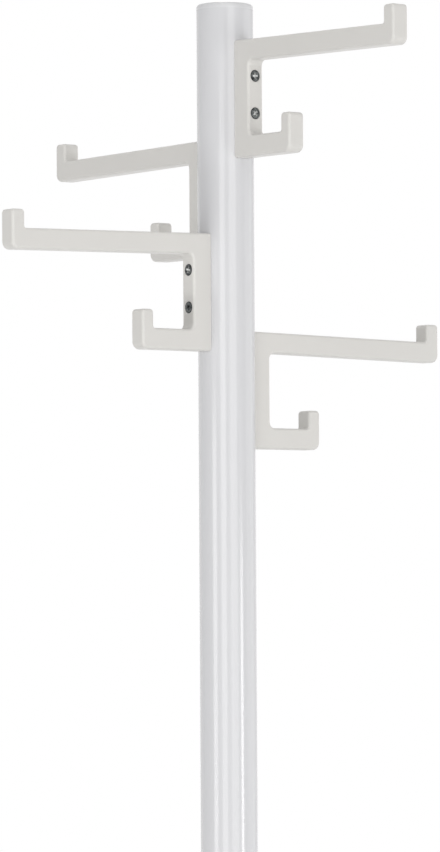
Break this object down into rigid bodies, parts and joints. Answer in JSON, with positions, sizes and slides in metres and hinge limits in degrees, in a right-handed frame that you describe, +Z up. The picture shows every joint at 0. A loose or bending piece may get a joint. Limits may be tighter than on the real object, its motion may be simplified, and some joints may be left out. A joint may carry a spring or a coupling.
{
  "type": "coat stand",
  "caption": "Free-standing coat stand: a round white pole on a weighted disc base, with off-white double hooks screwed on in a rising turn near its top.",
  "frame": {"origin": "on the floor, at the pole's axis", "axes": "+Z up the pole; -Y out along the highest hook, +Y, -X and +X along the next ones down"},
  "size_m": [0.4, 0.4, 1.75],
  "materials": {
    "white_lacquer": "glossy cool white lacquer",
    "cap_plastic": "white moulded plastic",
    "hook_plastic": "satin warm off-white moulded plastic",
    "screw_zinc": "dark zinc plate, bright in the recess",
    "zinc_steel": "zinc-plated steel",
    "cast_iron": "black-painted casting",
    "pad_rubber": "matt black rubber"
  },
  "bodies": {
    "root": {"pole_tube": "white_lacquer", "top_cap": "cap_plastic", "foot_plug": "zinc_steel", "hook_front": "hook_plastic", "hook_front_screws": "screw_zinc", "hook_front_rivet_nuts": "zinc_steel", "hook_back": "hook_plastic", "hook_back_screws": "screw_zinc", "hook_back_rivet_nuts": "zinc_steel", "hook_left": "hook_plastic", "hook_left_screws": "screw_zinc", "hook_left_rivet_nuts": "zinc_steel", "hook_right": "hook_plastic", "hook_right_screws": "screw_zinc", "hook_right_rivet_nuts": "zinc_steel", "base_cover": "white_lacquer", "base_ballast": "cast_iron", "floor_pads": "pad_rubber", "base_bolt": "zinc_steel", "base_washer": "zinc_steel", "base_spring_washer": "zinc_steel"}
  },
  "joints": []
}
